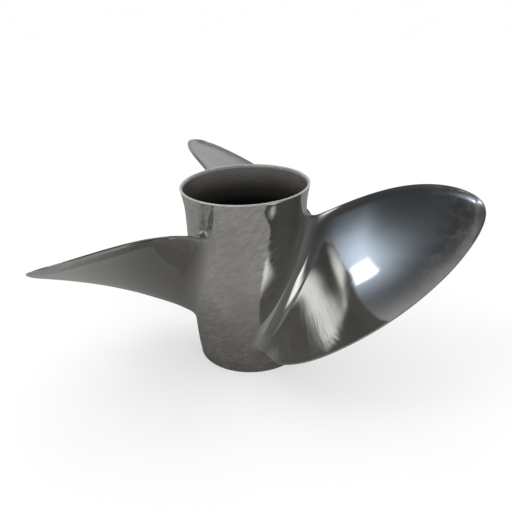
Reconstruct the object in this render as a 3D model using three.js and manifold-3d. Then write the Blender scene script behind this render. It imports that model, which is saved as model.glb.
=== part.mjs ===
// Three-blade, right-hand, through-hub-exhaust propeller for a large outboard motor.
// Millimetres, +Z up. The propeller stands on the forward rim of its barrel, +Z points aft
// and the shaft axis is the Z axis. Heights below are measured from the forward rim; the
// whole group is then lowered by CENTRE_HEIGHT, so that the origin is the centre of mass.
//
// The casting is divided at its natural boundaries (outer barrel, inner hub, three webs and
// three blades); a bonded rubber bush and a splined drive sleeve are pressed into the hub.

import * as THREE from 'three';
import { mergeVertices } from 'three/addons/utils/BufferGeometryUtils.js';
import Module from 'manifold-3d';

const wasm = await Module();
wasm.setup();

// ---------------------------------------------------------------- driving dimensions
const INCH = 25.4;
const DIAMETER = 16 * INCH;          // over the blade tips
const R_TIP = DIAMETER / 2;
const BLADES = 3;
const BLADE_AZIMUTH = -45.54;        // degrees, reference line of blade 1, anticlockwise from +X

const CENTRE_HEIGHT = 80;            // centre of mass above the forward rim

const BARREL_LENGTH = 166.9;
const BARREL_R = 54.31;              // cylindrical part, outside
const NOSE_DROP = 2.705;             // how much the barrel narrows towards the forward end
const NOSE_LENGTH = 23.72;
const BARREL_TAPER = 0.254;          // gentle growth over 160 mm
const FLARE_START = 149.99;          // aft flare: 11.3 degree cone with a soft start
const FLARE_SLOPE = 0.1991;
const FLARE_BLEND = 3.956;
const LIP_R = 50.8;                  // spigot at the forward end
const LIP_HEIGHT = 7.44;
const LIP_BORE_R = 46.9;
const BARREL_BORE_R = 49.5;
const RIM_WALL = 2.1;                // wall at the aft rim

const HUB_R = 36.5;                  // inner hub, outside
const HUB_BORE_R = 31.0;
const HUB_Z0 = 12;
const HUB_Z1 = 98;
const HUB_SHOULDER_Z = 94.4;         // shoulder that the bush seats against
const HUB_SHOULDER_R = 27.6;

const WEB_THICK = 8.6;
const WEB_FILLET = 3.4;
const WEB_Z0 = 19;
const WEB_Z1 = 94;
const WEB_AZIMUTH = BLADE_AZIMUTH;

const BUSH_R = 30.7;
const BUSH_BORE_R = 21.8;
const BUSH_Z0 = 15;
const BUSH_Z1 = 94.1;

const SLEEVE_R = 21.5;
const SLEEVE_Z0 = 8;
const SLEEVE_Z1 = 103;
const SPLINES = 15;
const SPLINE_MAJOR_R = 15.9;
const SPLINE_MINOR_R = 14.2;
const SLEEVE_LEAD_IN = 2.2;          // chamfer at both mouths of the bore

const GAP = 0.3;                     // between faces that touch in the real assembly
const SEGMENTS = 60;                 // facets round the barrel and the hub parts

// Blade outline, in terms of u: 0 at the root radius, 1 at the tip.
const R_ROOT = 55.8628;
const SPAN = R_TIP - R_ROOT;
const Z_CENTRE = 81.537;                                   // height of the generator line at the root
const WIDTH = [1.1599, 1.2584, -0.2706, -1.2807, 0.1690];  // radians, times sqrt(1 - u)
const SKEW = [0, -0.0387, -0.1549, -0.7544, 0.4854];       // radians, clockwise seen from aft
const RAKE = [0, 0.2583, -0.0450, -0.0299];                // times SPAN
const PITCH = 562.944;                                     // 563 mm at the root to 597 mm at the tip
const PITCH_GROWTH = [1, 0.0316, 0.0291];

const CAMBER = 0.022;                // of the chord
const CUP_HEIGHT = 3.4;              // trailing-edge cup, towards the pressure face
const CUP_WIDTH = 10.0;
const EDGE_LE = 0.85;                // half thickness of the rounded leading edge
const EDGE_TE = 1.35;                // half thickness of the rounded trailing edge
const THICKNESS = [[0, 11.6], [0.12, 9.8], [0.3, 7.6], [0.5, 5.9], [0.7, 4.6], [0.88, 3.5], [1, 3.0]];
const ROOT_FILLET = 12;
const ROOT_FILLET_LE = 16.5;          // along the chord, at the leading end of the root
const ROOT_FILLET_TE = 10.5;          // and at the trailing end

// ---------------------------------------------------------------- helpers
const TAU = 2 * Math.PI;
const clamp = (x, a, b) => Math.min(b, Math.max(a, x));
const poly = (c, u) => c.reduceRight((s, k) => s * u + k, 0);
const smooth = (a, b, x) => { const t = clamp((x - a) / (b - a), 0, 1); return t * t * (3 - 2 * t); };

function table(rows, x) {
  if (x <= rows[0][0]) return rows[0][1];
  for (let i = 1; i < rows.length; i++) {
    if (x <= rows[i][0]) {
      const t = (x - rows[i - 1][0]) / (rows[i][0] - rows[i - 1][0]);
      return rows[i - 1][1] + t * (rows[i][1] - rows[i - 1][1]);
    }
  }
  return rows[rows.length - 1][1];
}

// Outside radius of the barrel above the spigot.
function barrelRadius(z) {
  const h = z - LIP_HEIGHT;
  return BARREL_R - NOSE_DROP * Math.exp(-Math.max(h, 0) / NOSE_LENGTH) + BARREL_TAPER * h / 160
    + FLARE_SLOPE * FLARE_BLEND * Math.log1p(Math.exp((z - FLARE_START) / FLARE_BLEND));
}

// A closed ring or disc from its half section, given as [radius, z] points that run
// anticlockwise in the (radius, z) plane.
function revolve(points, segments = SEGMENTS) {
  const profile = points.map(([r, z]) => new THREE.Vector2(r, z));
  profile.push(profile[0].clone());
  const g = new THREE.LatheGeometry(profile, segments);
  g.rotateX(Math.PI / 2);
  return g;
}

function toSolid(geometry) {
  const g = geometry.clone();
  g.deleteAttribute('normal');
  g.deleteAttribute('uv');
  const m = mergeVertices(g, 1e-3);
  let solid = new wasm.Manifold(new wasm.Mesh({
    numProp: 3,
    vertProperties: new Float32Array(m.attributes.position.array),
    triVerts: new Uint32Array(m.index.array),
  }));
  return solid;
}

function fromSolid(solid) {
  const mesh = solid.getMesh();
  const g = new THREE.BufferGeometry();
  g.setAttribute('position', new THREE.BufferAttribute(new Float32Array(mesh.vertProperties), 3));
  g.setIndex(new THREE.BufferAttribute(new Uint32Array(mesh.triVerts), 1));
  g.computeVertexNormals();
  return g;
}

const parts = new THREE.Group();
parts.position.z = -CENTRE_HEIGHT;

function add(name, geometry, colour, metalness, roughness) {
  const material = new THREE.MeshStandardMaterial({ color: colour, metalness, roughness });
  const mesh = new THREE.Mesh(geometry, material);
  mesh.name = name;
  parts.add(mesh);
  return mesh;
}

// ---------------------------------------------------------------- outer barrel
// The spigot steps out to the barrel skin at LIP_HEIGHT; the skin flares at the aft end.
{
  const outside = [8.0, 14, 22, 32, 46, 66, 96, 128, 141, 147, 152, 159, BARREL_LENGTH - 0.9]
    .map((z) => [barrelRadius(z), z]);
  const rim = barrelRadius(BARREL_LENGTH);
  add('outer_barrel', revolve([
    [LIP_BORE_R + 0.6, 0], [LIP_R - 0.6, 0], [LIP_R, 0.6], [LIP_R, LIP_HEIGHT - 0.1],
    [barrelRadius(LIP_HEIGHT) - 0.1, LIP_HEIGHT],
    ...outside,
    [rim - 0.5, BARREL_LENGTH], [rim - RIM_WALL + 0.5, BARREL_LENGTH], [rim - RIM_WALL - 0.1, BARREL_LENGTH - 0.8],
    [53.6, 157], [51.6, 147], [50.2, 136], [BARREL_BORE_R, 122],
    [BARREL_BORE_R, 11.5], [LIP_BORE_R, 8.5], [LIP_BORE_R, 0.6],
  ]), 0xb9b6b0, 1.0, 0.22);
}

// ---------------------------------------------------------------- inner hub
// Open at the forward end for the bush, with a shoulder at the aft end.
add('inner_hub', revolve([
  [HUB_BORE_R + 1.2, HUB_Z0], [HUB_R - 1.5, HUB_Z0], [HUB_R, HUB_Z0 + 1.5],
  [HUB_R, HUB_Z1 - 1.5], [HUB_R - 1.5, HUB_Z1],
  [HUB_SHOULDER_R, HUB_Z1], [HUB_SHOULDER_R, HUB_SHOULDER_Z], [HUB_BORE_R, HUB_SHOULDER_Z],
  [HUB_BORE_R, HUB_Z0 + 1.2],
]), 0x6d6862, 1.0, 0.55);

// ---------------------------------------------------------------- webs
// Radial ribs that carry the barrel on the inner hub, with filleted ends. The three
// spaces between them are the exhaust passages.
function webShape() {
  const r0 = HUB_R + GAP;
  const r1 = BARREL_BORE_R - GAP;
  const half = WEB_THICK / 2;
  const side = [];
  const n = 4;
  const arc0 = Math.asin((half + WEB_FILLET) / r0);
  const arc1 = Math.asin((half + WEB_FILLET) / r1);
  for (let i = n; i >= 0; i--) {
    const a = arc0 * i / n;
    side.push([r0 * Math.cos(a), -r0 * Math.sin(a)]);
  }
  side.reverse();
  for (let i = 1; i <= 3; i++) {
    const a = (Math.PI / 2) * i / 3;
    const x = r0 * Math.cos(arc0) + WEB_FILLET * Math.sin(a);
    side.push([x, -(half + WEB_FILLET * (1 - Math.sin(a) * 1.0) * Math.cos(a * 0.5))]);
  }
  side.push([r1 * Math.cos(arc1) - WEB_FILLET, -half]);
  for (let i = 1; i <= 2; i++) {
    const a = (Math.PI / 2) * i / 3;
    side.push([r1 * Math.cos(arc1) - WEB_FILLET * Math.cos(a), -(half + WEB_FILLET * (1 - Math.cos(a)))]);
  }
  for (let i = n; i >= 0; i--) {
    const a = arc1 * i / n;
    side.push([r1 * Math.cos(a), -r1 * Math.sin(a)]);
  }
  const other = side.slice(1, -1).map(([x, y]) => [x, -y]).reverse();
  return new THREE.Shape([...side, ...other].map(([x, y]) => new THREE.Vector2(x, y)));
}

for (let k = 0; k < BLADES; k++) {
  const g = new THREE.ExtrudeGeometry(webShape(), { depth: WEB_Z1 - WEB_Z0, bevelEnabled: false, curveSegments: 6 });
  const web = add(`web_${k + 1}`, g, 0x66615c, 1.0, 0.6);
  web.position.z = WEB_Z0;
  web.rotation.z = THREE.MathUtils.degToRad(WEB_AZIMUTH + 120 * k);
}

// ---------------------------------------------------------------- blades
// A section is cut by a cylinder of radius r and developed flat: t runs clockwise round
// the axis seen from aft, z runs aft. The nose-tail line is a helix of the local pitch.
// e is the half thickness of the rounded edge, d the distance in from that edge.
function halfSection(u, chord, nArc, nFace) {
  const tip = R_TIP - (R_ROOT + u * SPAN);
  const round = Math.sqrt(1 - (1 - clamp(tip / 1.4, 0, 1)) ** 2);
  const fuller = 1 - smooth(0, 24, u * SPAN);        // the edges thicken towards the barrel
  const eL = Math.min(EDGE_LE + 2.1 * fuller, chord * 0.12);
  const eT = Math.min(EDGE_TE + 1.3 * fuller, chord * 0.12);
  const full = table(THICKNESS, u) / 2;
  const rows = [];
  for (let i = 0; i <= nArc; i++) {
    const a = (Math.PI / 2) * i / nArc;
    rows.push([eL * (1 - Math.cos(a)), eL * Math.sin(a)]);
  }
  for (let i = 1; i < nFace; i++) {
    const s = 0.5 - 0.5 * Math.cos(Math.PI * i / nFace);
    const d = eL + s * (chord - eL - eT);
    const e = eL + (eT - eL) * s;
    const shape = (1 - Math.abs(2 * s - 1) ** 2.3) ** 1.05;
    const body = Math.min(full, chord * 0.25);
    rows.push([d, e + Math.max(0, body - e) * shape]);
  }
  for (let i = nArc; i >= 0; i--) {
    const a = (Math.PI / 2) * i / nArc;
    rows.push([chord - eT * (1 - Math.cos(a)), eT * Math.sin(a)]);
  }
  return rows.map(([d, h]) => ({ X: 1 - 2 * d / chord, h: h * round }));
}

function camberLine(u, chord, X) {
  const fade = smooth(0.0, 0.12, u) * (1 - 0.55 * smooth(0.9, 1.0, u));
  const width = Math.min(CUP_WIDTH, chord * 0.2);
  const xs = -1 + 2 * width / chord;
  const q = clamp((xs - X) / (xs + 1), 0, 1) ** 2;
  const h = CUP_HEIGHT * fade * clamp(chord / 60, 0, 1) * (0.42 + 0.58 * smooth(0.35, 0.72, u));
  return -CAMBER * chord * (1 - X * X) + h * (q - (1 - X) / 2);
}

// One closed loop of [theta, z]: leading edge, pressure face, trailing edge, suction face.
function sectionLoop(u, fillet, nArc, nFace) {
  const r = R_ROOT + u * SPAN;
  const width = Math.sqrt(Math.max(1 - u, 0)) * poly(WIDTH, u);
  const mid = poly(SKEW, u);
  const pitch = PITCH * poly(PITCH_GROWTH, u);
  const phi = Math.atan(pitch / (TAU * r));
  const chord = r * width / Math.cos(phi);
  const rows = halfSection(u, Math.max(chord, 1e-6), nArc, nFace);
  const flat = [];
  // The casting is filled out where the leading edge runs into the barrel.
  const d = u * SPAN;
  const fill = 3.6 * (1 - smooth(0, 26, d)) - 1.3 * smooth(10, 30, d) * (1 - smooth(55, 85, d));
  const push = (row, side) => {
    const x = row.X * chord / 2 + fill * smooth(0.25, 1, row.X);
    const y = camberLine(u, Math.max(chord, 1e-6), row.X) + side * row.h;
    flat.push([x, y]);
  };
  rows.forEach((row) => push(row, 1));
  rows.slice(1, -1).reverse().forEach((row) => push(row, -1));
  const n = flat.length;
  const moved = flat.map(([x, y], i) => {
    if (fillet <= 0) return [x, y];
    const a = flat[(i + n - 1) % n];
    const b = flat[(i + 1) % n];
    let nx = -(b[1] - a[1]);
    let ny = b[0] - a[0];
    const len = Math.hypot(nx, ny) || 1;
    nx /= -len; ny /= -len;
    const edge = nx > 0 ? ROOT_FILLET_LE : ROOT_FILLET_TE;
    const k = fillet * (1 + (edge / ROOT_FILLET - 1) * nx * nx);
    return [x + nx * k, y + ny * k];
  });
  const z0 = Z_CENTRE + SPAN * poly(RAKE, u);
  return moved.map(([x, y]) => {
    const t = r * mid + x * Math.cos(phi) + y * Math.sin(phi);
    const z = z0 - (pitch / TAU) * mid - x * Math.sin(phi) + y * Math.cos(phi);
    return [t / r, z];
  });
}

// Distance d is measured out from the barrel skin near the root and settles to plain
// radius further out, so the root follows the barrel's own curve.
function place(theta, z, d) {
  const skin = barrelRadius(z);
  const r = skin + d + (R_ROOT - skin) * smooth(0, 26, d);
  return [r, theta];
}

function bladeGeometry(index) {
  const nArc = 2;
  const nFace = 15;
  const stations = [GAP, 1.2, 3.2, 6.5, 12, 22, 36, 52, 70, 88, 104, 118, 129, 136.5, 141.5, 144.6, 146.3, 147.0];
  const loops = stations.map((d) => {
    const s = clamp(d / ROOT_FILLET, 0, 1);
    const fillet = ROOT_FILLET * (1 - Math.sqrt(1 - (1 - s) ** 2));
    return sectionLoop(d / SPAN, fillet, nArc, nFace).map(([theta, z]) => {
      const [r, th] = place(theta, z, d);
      return [r, th, z];
    });
  });
  const az = THREE.MathUtils.degToRad(BLADE_AZIMUTH + 120 * index);
  const xyz = ([r, theta, z]) => [r * Math.cos(az - theta), r * Math.sin(az - theta), z];
  const positions = [];
  const faces = [];
  const n = loops[0].length;
  loops.forEach((loop) => loop.forEach((p) => positions.push(...xyz(p))));
  for (let j = 0; j + 1 < loops.length; j++) {
    for (let i = 0; i < n; i++) {
      const a = j * n + i, b = j * n + (i + 1) % n, c = a + n, d = b + n;
      faces.push([a, d, b], [a, c, d]);
    }
  }
  // Tip point.
  const tipTheta = poly(SKEW, 1);
  const tipZ = Z_CENTRE + SPAN * poly(RAKE, 1) - (PITCH * poly(PITCH_GROWTH, 1) / TAU) * tipTheta;
  positions.push(...xyz([R_TIP, tipTheta, tipZ]));
  const apex = positions.length / 3 - 1;
  const last = (loops.length - 1) * n;
  for (let i = 0; i < n; i++) faces.push([last + i, apex, last + (i + 1) % n]);
  // Root face, a grid that follows the barrel skin at the assembly gap.
  const across = 7;
  const half = n / 2;
  const rows = [];
  for (let i = 0; i <= half; i++) {
    if (i === 0 || i === half) { rows.push([i]); continue; }
    const p = loops[0][i], q = loops[0][n - i];
    const row = [i];
    for (let k = 1; k < across; k++) {
      const theta = p[1] + (q[1] - p[1]) * k / across;
      const z = p[2] + (q[2] - p[2]) * k / across;
      positions.push(...xyz([barrelRadius(z) + GAP, theta, z]));
      row.push(positions.length / 3 - 1);
    }
    row.push(n - i);
    rows.push(row);
  }
  for (let i = 0; i < half; i++) {
    const p = rows[i], q = rows[i + 1];
    if (p.length === 1) { for (let k = 0; k < across; k++) faces.push([p[0], q[k], q[k + 1]]); continue; }
    if (q.length === 1) { for (let k = 0; k < across; k++) faces.push([p[k + 1], p[k], q[0]]); continue; }
    for (let k = 0; k < across; k++) faces.push([p[k], q[k], q[k + 1]], [p[k], q[k + 1], p[k + 1]]);
  }
  const g = new THREE.BufferGeometry();
  g.setAttribute('position', new THREE.Float32BufferAttribute(positions, 3));
  g.setIndex(faces.flat());
  g.computeVertexNormals();
  return g;
}

for (let k = 0; k < BLADES; k++) {
  add(`blade_${k + 1}`, bladeGeometry(k), 0x9aa0a2, 1.0, 0.12);
}

// ---------------------------------------------------------------- rubber bush
add('rubber_bush', revolve([
  [BUSH_BORE_R, BUSH_Z0], [BUSH_R - 1.5, BUSH_Z0], [BUSH_R, BUSH_Z0 + 1.5],
  [BUSH_R, BUSH_Z1], [BUSH_BORE_R, BUSH_Z1],
], SEGMENTS), 0x1a1a1b, 0.0, 0.85);

// ---------------------------------------------------------------- splined drive sleeve
{
  const outline = new THREE.Shape();
  for (let i = 0; i < SEGMENTS; i++) {
    const a = TAU * i / SEGMENTS;
    const x = SLEEVE_R * Math.cos(a), y = SLEEVE_R * Math.sin(a);
    if (i === 0) outline.moveTo(x, y); else outline.lineTo(x, y);
  }
  outline.closePath();
  const bore = new THREE.Path();
  const step = TAU / SPLINES;
  const corners = [];
  for (let i = 0; i < SPLINES; i++) {
    const a = step * i;
    for (const [f, r] of [[-0.21, SPLINE_MAJOR_R], [0, SPLINE_MAJOR_R], [0.21, SPLINE_MAJOR_R],
      [0.31, SPLINE_MINOR_R], [0.5, SPLINE_MINOR_R], [0.69, SPLINE_MINOR_R]]) {
      corners.push([r * Math.cos(a + f * step), r * Math.sin(a + f * step)]);
    }
  }
  corners.reverse().forEach(([x, y], i) => { if (i === 0) bore.moveTo(x, y); else bore.lineTo(x, y); });
  bore.closePath();
  outline.holes.push(bore);
  const body = new THREE.ExtrudeGeometry(outline, { depth: SLEEVE_Z1 - SLEEVE_Z0, bevelEnabled: false });
  body.translate(0, 0, SLEEVE_Z0);
  const lead = (z, dir) => revolve((() => {
    const a = [[0, z - dir * 1], [SPLINE_MAJOR_R + 1.2 + 1, z - dir * 1], [SPLINE_MINOR_R - 0.4, z + dir * (SLEEVE_LEAD_IN + 1.5)], [0, z + dir * (SLEEVE_LEAD_IN + 1.5)]];
    return dir > 0 ? a : a.reverse();
  })(), SEGMENTS);
  const sleeve = toSolid(body)
    .subtract(toSolid(lead(SLEEVE_Z0, 1)))
    .subtract(toSolid(lead(SLEEVE_Z1, -1)));
  add('drive_sleeve', fromSolid(sleeve), 0xb08d57, 1.0, 0.35);
}

export default parts;
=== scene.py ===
import math

import bpy
import numpy as np
from mathutils import Matrix, Vector


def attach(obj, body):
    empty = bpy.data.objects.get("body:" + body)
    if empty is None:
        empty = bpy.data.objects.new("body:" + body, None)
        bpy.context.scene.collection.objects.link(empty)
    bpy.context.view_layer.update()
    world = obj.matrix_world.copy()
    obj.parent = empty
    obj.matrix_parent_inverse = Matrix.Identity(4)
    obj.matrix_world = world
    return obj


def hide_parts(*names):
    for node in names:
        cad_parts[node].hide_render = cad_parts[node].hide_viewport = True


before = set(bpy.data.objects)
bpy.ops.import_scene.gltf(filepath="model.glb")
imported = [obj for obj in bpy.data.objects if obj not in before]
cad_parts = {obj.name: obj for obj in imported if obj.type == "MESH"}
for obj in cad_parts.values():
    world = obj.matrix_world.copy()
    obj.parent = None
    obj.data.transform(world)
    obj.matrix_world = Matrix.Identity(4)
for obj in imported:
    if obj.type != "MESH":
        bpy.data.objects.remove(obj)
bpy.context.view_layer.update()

# =====================================================================================
# Sizes in millimetres, heights from the forward rim (the frame's origin is 80 mm above it)
# =====================================================================================
CENTRE_HEIGHT = 80.0
R_TIP = 203.2
BLADE_AZIMUTH = -45.54
BARREL_LENGTH = 166.9
BARREL_R, NOSE_DROP, NOSE_LENGTH, BARREL_TAPER = 54.31, 2.705, 23.72, 0.254
FLARE_START, FLARE_SLOPE, FLARE_BLEND = 149.99, 0.1991, 3.956
LIP_R, LIP_HEIGHT, LIP_BORE_R = 50.8, 7.44, 46.9
BARREL_BORE_R, RIM_WALL = 49.5, 2.1
HUB_R, HUB_BORE_R, HUB_Z0, HUB_Z1 = 36.5, 31.0, 12.0, 98.0
HUB_SHOULDER_Z, HUB_SHOULDER_R = 94.4, 27.6
WEB_THICK, WEB_FILLET, WEB_Z0, WEB_Z1 = 8.6, 3.4, 19.0, 94.0
BUSH_R, BUSH_BORE_R, BUSH_Z0, BUSH_Z1 = 30.7, 21.8, 15.0, 94.1
SLEEVE_R, SLEEVE_Z0, SLEEVE_Z1, SPLINES = 21.5, 8.0, 103.0, 15
SPLINE_MAJOR_R, SPLINE_MINOR_R = 15.9, 14.2
R_ROOT = 55.8628
SPAN = R_TIP - R_ROOT
Z_CENTRE = 81.537
WIDTH = (1.1599, 1.2584, -0.2706, -1.2807, 0.1690)
SKEW = (0.0, -0.0387, -0.1549, -0.7544, 0.4854)
RAKE = (0.0, 0.2583, -0.0450, -0.0299)
PITCH, PITCH_GROWTH = 562.944, (1.0, 0.0316, 0.0291)
CAMBER, CUP_HEIGHT, CUP_WIDTH = 0.022, 3.4, 10.0
EDGE_LE, EDGE_TE = 0.85, 1.35
THICK_U = (0, 0.12, 0.3, 0.5, 0.7, 0.88, 1)
THICK_T = (11.6, 9.8, 7.6, 5.9, 4.6, 3.5, 3.0)
ROOT_FILLET, ROOT_FILLET_LE, ROOT_FILLET_TE = 12.0, 16.5, 10.5


def poly(c, u):
    s = 0.0
    for k in reversed(c):
        s = s * u + k
    return s


def smooth(a, b, x):
    t = np.clip((x - a) / (b - a), 0, 1)
    return t * t * (3 - 2 * t)


def barrel_radius(z):
    h = z - LIP_HEIGHT
    return (BARREL_R - NOSE_DROP * np.exp(-np.maximum(h, 0) / NOSE_LENGTH) + BARREL_TAPER * h / 160
            + FLARE_SLOPE * FLARE_BLEND * np.log1p(np.exp((z - FLARE_START) / FLARE_BLEND)))


# =====================================================================================
# Surface relief: smooth, seeded sums of plane waves, the same in every place in space,
# so that neighbouring pieces of the one casting stay continuous
# =====================================================================================
def waves(seed, count, shortest, longest):
    rng = np.random.default_rng(seed)
    d = rng.normal(size=(count, 3))
    d /= np.linalg.norm(d, axis=1)[:, None]
    lam = shortest * (longest / shortest) ** rng.random(count)
    return d * (2 * math.pi / lam)[:, None], rng.random(count) * 2 * math.pi, lam


def field(P, seed, count, shortest, longest, slope_even=True):
    """About -1 to 1. With slope_even each wavelength carries the same slope."""
    K, ph, lam = waves(seed, count, shortest, longest)
    amp = lam / longest if slope_even else np.ones(count)
    s = np.zeros(len(P))
    for k, p, a in zip(K, ph, amp):
        s += a * np.sin(P @ k + p)
    return s / math.sqrt((amp ** 2).sum() / 2) / 2


# =====================================================================================
# Mesh helpers
# =====================================================================================
def make_piece(name, V, F, material, body, nodes, attrs=None, sharp=None):
    V = np.array(V, float) / 1000.0
    V[:, 2] -= CENTRE_HEIGHT / 1000.0
    me = bpy.data.meshes.new(name)
    me.from_pydata(V.tolist(), [], [list(map(int, f)) for f in F])
    me.validate()
    me.update()
    me.polygons.foreach_set("use_smooth", [True] * len(me.polygons))
    if attrs:
        for key, values in attrs.items():
            at = me.attributes.new(key, "FLOAT", "POINT")
            at.data.foreach_set("value", np.asarray(values, np.float32))
    if sharp is not None:
        want = {tuple(sorted(e)) for e in sharp}
        flags = [tuple(sorted(e.vertices)) in want for e in me.edges]
        at = me.attributes.new("sharp_edge", "BOOLEAN", "EDGE")
        at.data.foreach_set("value", flags)
    ob = bpy.data.objects.new(name, me)
    bpy.context.scene.collection.objects.link(ob)
    me.materials.append(material)
    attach(ob, body)
    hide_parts(*nodes)
    return ob


def ring_faces(profile_count, seg):
    F = []
    n = profile_count
    for j in range(seg):
        k = (j + 1) % seg
        for i in range(n):
            b = (i + 1) % n
            F.append((j * n + i, k * n + i, k * n + b, j * n + b))
    return F


def revolve(profile, seg):
    pr = np.array(profile)
    a = np.linspace(0, 2 * math.pi, seg, endpoint=False)
    V = np.stack([np.outer(np.cos(a), pr[:, 0]), np.outer(np.sin(a), pr[:, 0]),
                  np.tile(pr[:, 1], (seg, 1))], -1).reshape(-1, 3)
    return V, ring_faces(len(profile), seg)


def arc(cx, cz, r, a0, a1, n):
    return [(cx + r * math.cos(math.radians(a0 + (a1 - a0) * i / n)),
             cz + r * math.sin(math.radians(a0 + (a1 - a0) * i / n))) for i in range(n + 1)]


def line(p, q, n):
    """n points strictly between p and q."""
    return [(p[0] + (q[0] - p[0]) * i / (n + 1), p[1] + (q[1] - p[1]) * i / (n + 1)) for i in range(1, n + 1)]


def profile_normals(profile):
    p = np.array(profile)
    t = np.roll(p, -1, 0) - np.roll(p, 1, 0)
    t /= np.maximum(np.linalg.norm(t, axis=1), 1e-9)[:, None]
    return np.stack([t[:, 1], -t[:, 0]], 1)          # outward for an anticlockwise profile


def revolve_normals(profile, seg):
    n = profile_normals(profile)
    a = np.linspace(0, 2 * math.pi, seg, endpoint=False)
    return np.stack([np.outer(np.cos(a), n[:, 0]), np.outer(np.sin(a), n[:, 0]),
                     np.tile(n[:, 1], (seg, 1))], -1).reshape(-1, 3)


# The polished skin's gentle unevenness, left by hand grinding and belt polishing.
def polish_relief(P):
    """Offset in millimetres along the outward normal."""
    long = field(P, 11, 26, 26.0, 70.0)
    mid = field(P, 12, 30, 10.0, 24.0)
    return 0.070 * long + 0.012 * mid


def cast_relief(P):
    return 0.10 * field(P, 21, 40, 5.0, 14.0) + 0.06 * field(P, 22, 40, 2.6, 5.0)


# =====================================================================================
# Outer barrel
# =====================================================================================
def barrel_profile():
    pts = []
    pts += arc(LIP_BORE_R + 0.5, 0.5, 0.5, 225, 270, 3)
    pts += line((LIP_BORE_R + 0.5, 0.0), (LIP_R - 0.7, 0.0), 3)
    pts += arc(LIP_R - 0.7, 0.7, 0.7, 270, 360, 6)
    pts += [(LIP_R, z) for z in np.linspace(1.2, LIP_HEIGHT - 0.5, 6)]
    r7 = float(barrel_radius(LIP_HEIGHT))
    pts += [(LIP_R + 0.03, LIP_HEIGHT - 0.16), (LIP_R + 0.16, LIP_HEIGHT - 0.03)]
    pts += line((LIP_R + 0.16, LIP_HEIGHT - 0.02), (r7 - 0.45, LIP_HEIGHT), 1)
    pts += arc(r7 - 0.45, LIP_HEIGHT + 0.45, 0.45, 270, 350, 5)
    zs = np.concatenate([np.arange(LIP_HEIGHT + 1.0, 136, 1.6), np.arange(136, BARREL_LENGTH - 1.1, 0.7)])
    pts += [(float(barrel_radius(z)), float(z)) for z in zs]
    rim = float(barrel_radius(BARREL_LENGTH))
    outside = len(pts)
    pts += arc(rim - 0.75, BARREL_LENGTH - 0.75, 0.75, 0, 90, 7)
    pts += arc(rim - RIM_WALL + 0.75, BARREL_LENGTH - 0.75, 0.75, 90, 180, 7)
    rim_end = len(pts)
    zi = np.array([11.5, 122, 136, 147, 157, 166.1])
    ri = np.array([49.5, 49.5, 50.2, 51.6, 53.6, 55.3])
    grid = np.arange(100, 168, 0.5)
    f = np.interp(grid, zi, ri)
    k = np.hanning(17)
    k /= k.sum()
    fs = np.convolve(np.concatenate([np.full(8, f[0]), f, f[-1] + 0.1 * np.arange(1, 9)]), k, "valid")
    inner = lambda z: float(np.interp(z, grid, fs))
    pts += [(min(inner(z), float(barrel_radius(z)) - 1.9), float(z)) for z in np.arange(165.2, 120, -1.4)]
    pts += [(BARREL_BORE_R, float(z)) for z in np.arange(119, 12, -2.0)]
    pts += [(BARREL_BORE_R - 0.15, 11.2), (48.6, 9.6), (47.4, 8.6), (LIP_BORE_R, 8.0)]
    pts += [(LIP_BORE_R, float(z)) for z in (6.5, 4.5, 2.5, 1.0)]
    return pts, outside, rim_end


def build_barrel(material):
    seg = 384
    profile, outside, rim_end = barrel_profile()
    V, F = revolve(profile, seg)
    N = revolve_normals(profile, seg)
    index = np.tile(np.arange(len(profile)), seg)
    z = V[:, 2]
    inside = np.where(index >= rim_end, 1.0, 0.0)
    # relief of the polished skin, fading out at the machined spigot and the rim land
    skin = (index < outside) * smooth(LIP_HEIGHT + 1.0, LIP_HEIGHT + 6.0, z) * (1 - smooth(162.5, 166.0, z))
    bore = inside * smooth(9.0, 14.0, z) * (1 - smooth(158.0, 165.0, z))
    off = skin * polish_relief(V) + bore * cast_relief(V)
    V = V + N * off[:, None]
    return make_piece("outer_barrel_body", V, F, material, "casting", ["outer_barrel"],
                      attrs={"cast": inside * smooth(0.0, 1.0, (166.0 - z) / 1.2)})


# =====================================================================================
# Blades
# =====================================================================================
_us = np.linspace(0, 1, 201)
_t = np.interp(_us, THICK_U, THICK_T)
_ts = np.convolve(np.concatenate([_t[0] + (_t[0] - _t[1]) * np.arange(10, 0, -1), _t, np.full(10, _t[-1])]),
                  np.ones(21) / 21, "valid")


def thickness(u):
    return float(np.interp(np.clip(u, 0, 1), _us, _ts))


def half_section(u, chord, n_arc, n_face):
    tip = R_TIP - (R_ROOT + u * SPAN)
    rnd = math.sqrt(max(0.0, 1 - (1 - min(max(tip / 1.4, 0), 1)) ** 2))
    fuller = 1 - float(smooth(0.0, 24.0, u * SPAN))
    e_l = min(EDGE_LE + 2.1 * fuller, chord * 0.12)
    e_t = min(EDGE_TE + 1.3 * fuller, chord * 0.12)
    full = thickness(u) / 2
    d, h = [], []
    for i in range(n_arc + 1):
        a = math.pi / 2 * i / n_arc
        d.append(e_l * (1 - math.cos(a)))
        h.append(e_l * math.sin(a))
    for i in range(1, n_face):
        q = i / n_face
        s = 0.5 - 0.5 * math.cos(math.pi * q)
        s = 0.55 * s + 0.45 * q
        e = e_l + (e_t - e_l) * s
        shape = (1 - abs(2 * s - 1) ** 2.3) ** 1.05
        body = min(full, chord * 0.25)
        d.append(e_l + s * (chord - e_l - e_t))
        h.append(e + max(0, body - e) * shape)
    for i in range(n_arc, -1, -1):
        a = math.pi / 2 * i / n_arc
        d.append(chord - e_t * (1 - math.cos(a)))
        h.append(e_t * math.sin(a))
    d, h = np.array(d), np.array(h)
    return 1 - 2 * d / chord, h * rnd


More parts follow.
